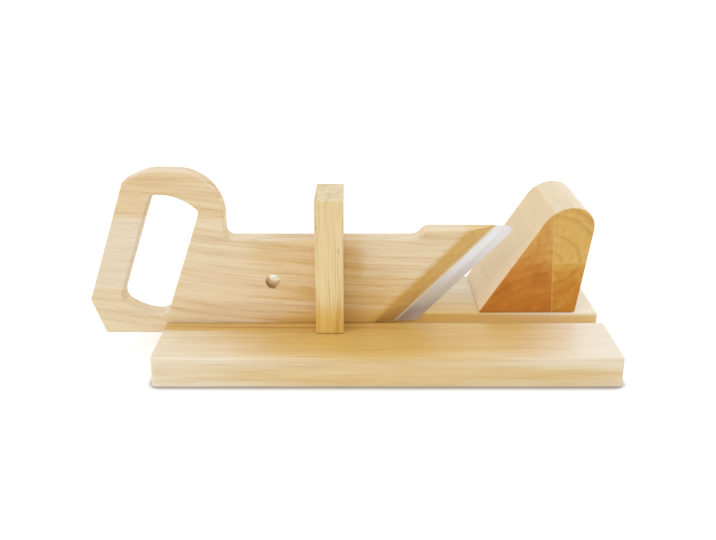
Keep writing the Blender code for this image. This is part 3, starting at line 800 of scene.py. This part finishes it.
def brushed_steel(name, tone, roughness, metal, brush, lip=None):
    """Steel scratched along a direction, and a blade's painted reflections and lip highlight."""
    paint, material = new_paint(name)
    x, y, z = paint.place()
    run = x * brush.x + y * brush.y + z * brush.z
    side = x * brush.z - z * brush.x
    scratch = paint.noise(run / 0.02, side / 0.0003, y / 0.0003, 3.0, 0.7)
    smear = paint.noise(run / 0.03, side / 0.006, y / 0.006)
    bright = paint.mix(scratch.step(0.3, 0.8), tone, [part * 0.86 for part in tone])
    if lip:
        # The lip's painted highlight reaches onto the blade's front face, where it is not metal.
        back = past_lip(x, z)
        in_front = 1 - y.step(BLADE_FRONT, BLADE_FRONT + 0.0002)
        lip_highlight_mask = (1 - back.step(*LIP_HIGHLIGHT_ON_STEEL)) * in_front
        # Painted reflections: the blade's low end is tinted blue, and its ground edge lightened
        # low down.
        low_reflection = paint.times(bright, LOW_STEEL_REFLECTION_TINT)
        bright = paint.mix(z.step(*LOW_STEEL_REFLECTION_Z), low_reflection, bright)
        ground = back.step(GROUND_START - 0.0002, GROUND_START + 0.0008)
        ground = ground * (1 - z.step(*GROUND_REFLECTION_Z))
        bright = paint.dyed(ground, bright, GROUND_REFLECTION_TINT)
        bright = paint.mix(lip_highlight_mask, bright, lip)
        metal = (1 - lip_highlight_mask) * metal
    paint.dress("Principled BSDF", Base_Color=bright,
                Metallic=metal, Roughness=roughness + (smear - 0.5) * 0.12,
                Normal=paint.bump(scratch, 0.15, 0.00003))
    return material


def handle_x(x, height, start=HEEL_Z):
    """Where a line that leans with the handle from x reaches a height."""
    return x + (height - start) * math.tan(HANDLE_LEAN)


def square_to(start, end):
    """The normal of the plane through a line from start to end (x, z), on its left."""
    return Vector((start[1] - end[1], 0, end[0] - start[0])).normalized()


def saw_line(piece, start, end):
    """Cut off what lies left of a line from start to end (x, z), as seen from in front."""
    saw(piece, (start[0], 0, start[1]), square_to(start, end))


def hand_hole_tool():
    """The shape of the hand hole, longer than the board is thick."""
    left = HANDLE_LEFT + GRIP_WIDTH

    def corner(offset, height):
        return handle_x(left + offset, height), height

    corners = [
        (*corner(0, HOLE_LOW + HOLE_LOW_RISE), HOLE_HEEL_RADIUS),
        (*corner(0, HOLE_HIGH), HOLE_BROW_RADIUS),
        (*corner(HOLE_HIGH_BEND[0], HOLE_HIGH - HOLE_HIGH_BEND[1]), HOLE_BEND_RADIUS),
        (*corner(HOLE_WIDTH, HOLE_HIGH - HOLE_HIGH_FALL), HOLE_HIGH_RADIUS),
        (*corner(HOLE_WIDTH, HOLE_LOW), HOLE_LOW_RADIUS),
        (*corner(HOLE_LOW_BEND[0], HOLE_LOW + HOLE_LOW_BEND[1]), HOLE_BEND_RADIUS),
    ]
    low = (HANDLE_LEFT, SHUTTLE_FRONT - CUT_PAST, SHUTTLE_BOTTOM)
    high = (NECK_X, SHUTTLE_REAR + CUT_PAST, CROWN_Z)
    tool = block("hand_hole", low, high)
    for start, end in zip(corners, corners[1:] + corners[:1]):
        saw_line(tool, start, end)
    for x, z, radius in corners:
        round_off(tool, along(1, x, z), radius)
    return tool


def shuttle_blank():
    """The whole shuttle board's outline, drawn out of the handle's block."""
    low = (HANDLE_LEFT, SHUTTLE_FRONT, SHUTTLE_BOTTOM)
    piece = block("shuttle", low, (NECK_X, SHUTTLE_REAR, CROWN_Z))
    open_up(piece)
    bpy.ops.mesh.bisect(plane_co=(0, 0, SHUTTLE_TOP), plane_no=(0, 0, 1))

    end = LIP.x + BLADE_EXPOSED
    for reach in (NOSE_STEP_X, end):
        start = max(vert.co.x for vert in bmesh.from_edit_mesh(piece.data).verts)
        pick(piece, "FACE", lambda face: face.normal.x > 0.9
             and face.calc_center_median().x > start - NEAR
             and face.calc_center_median().z < SHUTTLE_TOP)
        pull_out(reach - start, 0, 0)
    middle = (NOSE_STEP_X + end) / 2
    pick(piece, "FACE", lambda face: face.normal.z > 0.9
         and abs(face.calc_center_median().x - middle) < NEAR)
    rise = NOSE_TOP - SHUTTLE_TOP
    pull_out(0, 0, rise)
    pick(piece, "VERT", lambda vert: vert.co.z > NOSE_TOP - NEAR
         and abs(vert.co.x - NOSE_STEP_X) < NEAR)
    bpy.ops.transform.translate(value=(rise, 0, 0))

    toe = (HANDLE_LEFT + TOE_LENGTH, SHUTTLE_BOTTOM)
    heel = (HANDLE_LEFT, HEEL_Z)
    brow = (handle_x(HANDLE_LEFT, BROW_Z), BROW_Z)
    forehead = (brow[0] + BROW_LENGTH, CROWN_Z)
    for start, stop in ((toe, heel), (heel, brow), (brow, forehead)):
        saw_line(piece, start, stop)
    corners = [
        (*toe, TOE_RADIUS),
        (*heel, HEEL_RADIUS),
        (*brow, BROW_RADIUS),
        (*forehead, FOREHEAD_RADIUS),
        (NECK_X, CROWN_Z, CROWN_RADIUS),
        (NECK_X, SHUTTLE_TOP, NECK_RADIUS),
        (NOSE_STEP_X, SHUTTLE_TOP, NOSE_STEP_RADIUS),
        (NOSE_STEP_X + rise, NOSE_TOP, NOSE_STEP_RADIUS),
    ]
    for x, z, radius in corners:
        round_off(piece, along(1, x, z), radius)
    return piece


def plane_end(piece, soft):
    """Plane the end bevel, from the lip to the front face, and soften its start."""
    depth = LIP.y - SHUTTLE_FRONT
    down = Vector((0, -depth, 0)) - ACROSS_BLADE * BEVEL_WIDTH
    saw(piece, LIP, ALONG_BLADE.cross(down))
    start = LIP - ACROSS_BLADE * BEVEL_WIDTH

    def on_start(edge):
        return all(abs((vert.co - start).dot(ACROSS_BLADE)) < 10 * NEAR
                   and abs(vert.co.y - SHUTTLE_FRONT) < NEAR for vert in edge.verts)
    ease(piece, soft, on_start)


def peg_mouth(edge):
    """A test for the front mouth of the peg hole."""
    middle = Vector((PEG_HOLE_X, SHUTTLE_FRONT, PEG_HOLE_Z))
    return all(abs(vert.co.y - SHUTTLE_FRONT) < NEAR
               and abs((vert.co - middle).length - PEG_HOLE_RADIUS) < NEAR
               for vert in edge.verts)


def rebate_tool():
    """The space that the blade's back needs behind the lip, long enough for any height."""
    hidden = BLADE_WIDTH - BLADE_EXPOSED + BLADE_SEAT
    reach = 0.2
    tool = block("rebate", (-reach, 0, -CUT_PAST), (reach, CUT_PAST, hidden))
    turn = Matrix((ALONG_BLADE, Vector((0, 1, 0)), -ACROSS_BLADE)).transposed()
    tool.matrix_world = Matrix.Translation(LIP) @ turn.to_4x4()
    take(tool)
    return settle(tool, "rebate")


def peg_hole_tool():
    """A round rod through the shuttle, as wide as the peg hole."""
    low, high = SHUTTLE_FRONT - CUT_PAST, SHUTTLE_REAR + CUT_PAST
    deselect()
    bpy.ops.mesh.primitive_cylinder_add(vertices=PEG_HOLE_SIDES, radius=PEG_HOLE_RADIUS,
                                        depth=high - low, rotation=(math.pi / 2, 0, 0),
                                        location=(PEG_HOLE_X, (low + high) / 2, PEG_HOLE_Z))
    return settle(bpy.context.object, "peg_hole")


def screw_shape(group, spare=0.0, mouth=0.0):
    """A countersunk screw along Z with its head's flat at 0, or the hole for it."""
    radius, head, reach = SCREWS[group][1:]
    cone = head - radius
    point = 0 if spare else POINT_LENGTH * radius
    low = point - reach - spare
    high = -cone - SCREW_RIM
    deselect()
    bpy.ops.mesh.primitive_cylinder_add(vertices=SCREW_SIDES, radius=radius + spare,
                                        depth=high - low, location=(0, 0, (low + high) / 2))
    piece = settle(bpy.context.object, group)
    steps = [(1, cone, (head + spare) / (radius + spare)), (1, SCREW_RIM + mouth, 1)]
    if point:
        steps.append((-1, point, POINT_END))
    for end, rise, widen in steps:
        limit = max(vert.co.z * end for vert in piece.data.vertices)
        pick(piece, "FACE", lambda face: face.calc_center_median().z * end > limit - NEAR)
        pull_out(0, 0, rise * end)
        bpy.ops.transform.resize(value=(widen, widen, 1), center_override=(0, 0, 0))
        bpy.ops.object.mode_set(mode="OBJECT")
    return piece


def put_screw(piece, group, number):
    """Turn a screw or its drill the right way and move it to its node's place."""
    low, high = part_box(f"{group}_{number}")
    middle = (low + high) / 2
    if group == "blade_screw":
        place = Matrix.Translation((middle.x, high.y, middle.z))
        turn = Matrix.Rotation(-math.pi / 2, 4, "X")
    else:
        place = Matrix.Translation((middle.x, middle.y, low.z))
        turn = Matrix.Rotation(math.pi, 4, "X")
    piece.matrix_world = place @ turn
    take(piece)
    settle(piece, piece.name)


def drill(piece, group):
    """Drill and countersink the holes for a group of screws."""
    blank = screw_shape(group, spare=SCREW_SPARE, mouth=SINKING_MOUTH)
    for number in range(1, SCREWS[group][0] + 1):
        bit = copy_of(blank, "bit")
        put_screw(bit, group, number)
        carve(piece, bit)
    bpy.data.objects.remove(blank)


class SLICER_OT_base_board(Operator):
    """Model the base board, with its groove and the sinkings for its screws"""
    bl_idname = "slicer.base_board"
    bl_label = "Base board"

    def execute(self, context):
        sizes = context.scene.slicer_sizes
        tones = context.scene.slicer_colours
        piece = block("base", BASE_LOW, BASE_HIGH)
        for x in (BASE_LOW.x, BASE_HIGH.x):
            for y in (BASE_LOW.y, BASE_HIGH.y):
                round_off(piece, along(2, x, y), BASE_CORNER_RADIUS)
        low = (BASE_LOW.x - CUT_PAST, GROOVE_FRONT, GROOVE_FLOOR)
        high = (BASE_HIGH.x + CUT_PAST, GROOVE_REAR, BASE_HIGH.z + CUT_PAST)
        carve(piece, block("groove", low, high))
        ease(piece, sizes.foot_ease, lambda edge: stands_out(edge) and on_table(edge))
        ease(piece, sizes.base_ease, lambda edge: stands_out(edge) and not on_table(edge))
        drill(piece, "guide_screw")
        drill(piece, "rest_screw")
        material = wood("base wood", tones, "base")
        finish_piece(piece, "base", "base_board", material)
        return {"FINISHED"}


class SLICER_OT_guide_bridge(Operator):
    """Model the bridge, with the slot that the shuttle runs through"""
    bl_idname = "slicer.guide_bridge"
    bl_label = "Guide bridge"

    def execute(self, context):
        sizes = context.scene.slicer_sizes
        tones = context.scene.slicer_colours
        piece = block("bridge", GUIDE_LOW, GUIDE_HIGH)
        low = (GUIDE_LOW.x - CUT_PAST, GROOVE_FRONT, GUIDE_LOW.z - CUT_PAST)
        high = (GUIDE_HIGH.x + CUT_PAST, GROOVE_REAR, SHUTTLE_TOP + GUIDE_TOP_CLEARANCE)
        carve(piece, block("slot", low, high))
        ease(piece, sizes.guide_ease)
        drill(piece, "guide_screw")
        material = wood("bridge wood", tones, "bridge")
        finish_piece(piece, "base", "guide_bridge", material)
        return {"FINISHED"}


class SLICER_OT_shuttle_board(Operator):
    """Model the shuttle board and saw it into the four staves it was glued up from"""
    bl_idname = "slicer.shuttle_board"
    bl_label = "Shuttle board"

    def execute(self, context):
        sizes = context.scene.slicer_sizes
        tones = context.scene.slicer_colours
        whole = shuttle_blank()
        carve(whole, hand_hole_tool())
        ease(whole, sizes.shuttle_ease)
        plane_end(whole, sizes.bevel_ease)
        carve(whole, rebate_tool())
        carve(whole, peg_hole_tool())
        ease(whole, sizes.hole_ease, peg_mouth)
        drill(whole, "blade_screw")

        middle_x = handle_x(HANDLE_LEFT + GRIP_WIDTH + HOLE_WIDTH / 2, 0)
        lean = Vector((math.cos(HANDLE_LEAN), 0, -math.sin(HANDLE_LEAN)))
        start = (HANDLE_LEFT, 0, SHUTTLE_BOTTOM + LOW_GLUE_HEIGHT)
        up = Vector((math.sin(LOW_GLUE_FALL), 0, math.cos(LOW_GLUE_FALL)))
        over = (start, -up)
        under = ((0, 0, HIGH_GLUE_Z), (0, 0, 1))
        staves = {
            "low": [(start, up)],
            "grip": [over, under, ((middle_x, 0, 0), lean)],
            "middle": [over, under, ((middle_x, 0, 0), -lean)],
            "crown": [((0, 0, HIGH_GLUE_Z), (0, 0, -1))],
        }
        bore = (PEG_HOLE_X, PEG_HOLE_Z, PEG_HOLE_RADIUS)
        for name, planes in staves.items():
            piece = copy_of(whole, f"shuttle_{name}")
            for point, normal in planes:
                saw(piece, point, normal)
            material = wood(f"shuttle {name} wood", tones, f"shuttle {name}", planes[:1],
                            bore if name == "middle" else None, name in ("low", "middle"))
            finish_piece(piece, "shuttle", f"shuttle_{name}_stave", material)
        bpy.data.objects.remove(whole)
        return {"FINISHED"}


class SLICER_OT_blade(Operator):
    """Model the blade, ground along its edge and sunk for its screws"""
    bl_idname = "slicer.blade"
    bl_label = "Blade"

    def execute(self, context):
        tones = context.scene.slicer_colours
        low, high = BLADE_LOW.z, BLADE_HIGH.z
        reach = BLADE_WIDTH + BLADE_EXPOSED
        piece = block("steel_blade", (BLADE_LOW.x - reach, BLADE_LOW.y, low),
                      (BLADE_HIGH.x + reach, BLADE_HIGH.y, high))
        edge = LIP + ACROSS_BLADE * BLADE_EXPOSED
        back = LIP - ACROSS_BLADE * (BLADE_WIDTH - BLADE_EXPOSED)
        saw(piece, edge, ACROSS_BLADE)
        saw(piece, back, -ACROSS_BLADE)

        def crossing(line, height):
            return line.x + (height - line.z) / math.tan(BLADE_ANGLE)

        for line, height, radius in (
            (back, low, BLADE_BACK_RADIUS),
            (edge, low, BLADE_HEEL_RADIUS),
            (edge, high, BLADE_TIP_RADIUS),
            (back, high, BLADE_BACK_RADIUS),
        ):
            round_off(piece, along(1, crossing(line, height), height), radius)
        shoulder = edge - ACROSS_BLADE * GRIND_WIDTH
        shoulder.y = BLADE_LOW.y
        slope = ACROSS_BLADE * GRIND_WIDTH
        slope.y = BLADE_THICKNESS - EDGE_THICKNESS
        normal = slope.cross(ALONG_BLADE)
        if normal.y > 0:
            normal = -normal
        saw(piece, shoulder, normal)
        drill(piece, "blade_screw")
        # The blade's tints are painted reflections, and the glue colour gives the lip's painted
        # highlight.
        material = brushed_steel("blade steel", tones.steel, 0.38, 0.85, ALONG_BLADE, tones.glue)
        finish_piece(piece, "shuttle", "blade", material)
        return {"FINISHED"}


class SLICER_OT_rest_block(Operator):
    """Model the rest block and saw it into the three staves it was glued up from"""
    bl_idname = "slicer.rest_block"
    bl_label = "Rest block"

    def execute(self, context):
        sizes = context.scene.slicer_sizes
        tones = context.scene.slicer_colours
        foot, top = REST_LEFT_LOW.z, REST_UPPER_HIGH.z
        slope_x = REST_FOOT_LEFT + (top - foot) / math.tan(REST_SLOPE)
        back_x = REST_FOOT_RIGHT + (top - foot) * math.tan(REST_LEAN)
        low = (REST_FOOT_LEFT, REST_LEFT_LOW.y, foot)
        whole = block("rest", low, (back_x, REST_LEFT_HIGH.y, top))
        saw_line(whole, (REST_FOOT_LEFT, foot), (slope_x, top))
        saw_line(whole, (back_x, top), (REST_FOOT_RIGHT, foot))
        round_off(whole, along(1, slope_x, top), REST_SLOPE_RADIUS)
        round_off(whole, along(1, back_x, top), REST_BACK_RADIUS)
        ease(whole, sizes.rest_ease)
        drill(whole, "rest_screw")

        joint = (REST_JOINT_FOOT, 0, foot)
        right = Vector((math.cos(REST_JOINT_LEAN), 0, math.sin(REST_JOINT_LEAN)))
        level = (0, 0, REST_JOINT_Z)
        staves = {
            "left": [(joint, right)],
            "lower": [(joint, -right), (level, (0, 0, 1))],
            "upper": [(joint, -right), (level, (0, 0, -1))],
        }
        for name, planes in staves.items():
            piece = copy_of(whole, f"rest_{name}")
            for point, normal in planes:
                saw(piece, point, normal)
            material = wood(f"rest {name} wood", tones, f"rest {name}", planes)
            finish_piece(piece, "base", f"rest_{name}_stave", material)
        bpy.data.objects.remove(whole)
        return {"FINISHED"}


class SLICER_OT_screws(Operator):
    """Model one screw of each size and put a copy in every place"""
    bl_idname = "slicer.screws"
    bl_label = "Screws"

    def execute(self, context):
        tones = context.scene.slicer_colours
        material = brushed_steel("zinc plate", tones.zinc, 0.42, 1.0, Vector((1, 0, 0)))
        for group in SCREWS:
            count = SCREWS[group][0]
            body = "shuttle" if group == "blade_screw" else "base"
            blank = screw_shape(group)
            width = blank.dimensions.x
            slot = Vector((width, width * SLOT_HALF_WIDTH, width * SLOT_DEPTH))
            carve(blank, block("slot", -slot, slot))
            for number in range(1, count + 1):
                piece = copy_of(blank, f"{group}_{number}_turned")
                piece.data.transform(Matrix.Rotation(SLOT_TURN * number, 4, "Z"))
                put_screw(piece, group, number)
                finish_piece(piece, body, f"{group}_{number}", material)
            bpy.data.objects.remove(blank)
        return {"FINISHED"}


class SLICER_OT_stage(Operator):
    """Set up the white floor, the soft light and the camera"""
    bl_idname = "slicer.stage"
    bl_label = "Stage"

    def execute(self, context):
        settings = context.scene.slicer_stage
        self.make_floor(settings)
        self.make_sky(context.scene, settings)
        self.make_lamp("key lamp", settings.key, KEY_PLACE)
        self.make_lamp("side lamp", settings.side, SIDE_PLACE)
        self.make_camera(context.scene)
        context.scene.view_settings.view_transform = "Standard"
        return {"FINISHED"}

    def make_floor(self, settings):
        """A pale floor that keeps the shadow of the foot and is white where it is open."""
        deselect()
        bpy.ops.mesh.primitive_plane_add(size=FLOOR_SIZE, location=(0, 0, FLOOR_Z))
        floor = settle(bpy.context.object, "floor")
        paint, material = new_paint("floor white")
        paint.nodes.remove(paint.nodes["Principled BSDF"])
        open_floor = paint.add("ShaderNodeAmbientOcclusion", {"samples": 16},
                               {"Distance": settings.crease}, output="AO")
        grey = [0.5 * settings.floor] * 3
        white = [settings.floor] * 3
        tone = paint.mix(open_floor, grey, white)
        matt = paint.add("ShaderNodeBsdfDiffuse", inputs={"Color": tone})
        strength = paint.seen() * open_floor.step(0.62, 1.0) * settings.lift
        glow = paint.add("ShaderNodeEmission", inputs={"Strength": strength})
        whole = paint.add("ShaderNodeAddShader", inputs={0: matt, 1: glow})
        paint.dress("Material Output", Surface=whole)
        floor.data.materials.append(material)

    def make_sky(self, scene, settings):
        """Soft light from all round, which the camera sees as white."""
        world = bpy.data.worlds.new("sky")
        scene.world = world
        paint = Paint(world)
        paint.dress("Background", Color=(1, 1, 1, 1),
                    Strength=settings.sky + paint.seen() * (1 - settings.sky))

    def make_lamp(self, name, power, place):
        """A large lamp that points at the slicer."""
        data = bpy.data.lights.new(name, "AREA")
        data.energy = power
        data.size = LAMP_SIZE
        lamp = bpy.data.objects.new(name, data)
        bpy.context.scene.collection.objects.link(lamp)
        lamp.location = place
        aim = LAMP_AIM - lamp.location
        lamp.rotation_euler = aim.to_track_quat("-Z", "Y").to_euler()

    def make_camera(self, scene):
        """The camera, in front of the slicer and above it."""
        camera = bpy.data.cameras.new("camera")
        camera.sensor_fit = "HORIZONTAL"
        camera.sensor_width = CAMERA_SENSOR
        camera.lens = CAMERA_LENS
        camera.clip_start = 0.01
        view = bpy.data.objects.new("camera", camera)
        scene.collection.objects.link(view)
        view.location = CAMERA_PLACE
        view.rotation_euler = (math.pi / 2 - CAMERA_TILT, 0, 0)
        scene.camera = view


STEPS = (
    SLICER_OT_base_board,
    SLICER_OT_guide_bridge,
    SLICER_OT_shuttle_board,
    SLICER_OT_blade,
    SLICER_OT_rest_block,
    SLICER_OT_screws,
    SLICER_OT_stage,
)


class SLICER_PT_panel(Panel):
    """The slicer's pieces, sizes and colours"""
    bl_idname = "SLICER_PT_panel"
    bl_label = "Sliding Slicer"
    bl_space_type = "VIEW_3D"
    bl_region_type = "UI"
    bl_category = "Slicer"

    def draw(self, context):
        layout = self.layout
        for step in STEPS:
            layout.operator(step.bl_idname)
        for name in SETTINGS:
            box = layout.box()
            group = getattr(context.scene, name)
            for field in group.__annotations__:
                box.prop(group, field)


SETTINGS = {
    "slicer_sizes": SlicerSizes,
    "slicer_colours": SlicerColours,
    "slicer_stage": SlicerStage,
}


def register():
    """Make the settings, the steps and the panel known."""
    for name, group in SETTINGS.items():
        bpy.utils.register_class(group)
        setattr(bpy.types.Scene, name, PointerProperty(type=group))
    for step in STEPS:
        bpy.utils.register_class(step)
    bpy.utils.register_class(SLICER_PT_panel)


def unregister():
    """Take the panel, the steps and the settings out again."""
    bpy.utils.unregister_class(SLICER_PT_panel)
    for step in reversed(STEPS):
        bpy.utils.unregister_class(step)
    for name, group in SETTINGS.items():
        delattr(bpy.types.Scene, name)
        bpy.utils.unregister_class(group)


def main():
    """Model every piece in order."""
    register()
    for step in STEPS:
        group, name = step.bl_idname.split(".")
        getattr(getattr(bpy.ops, group), name)()


if __name__ == "__main__":
    main()
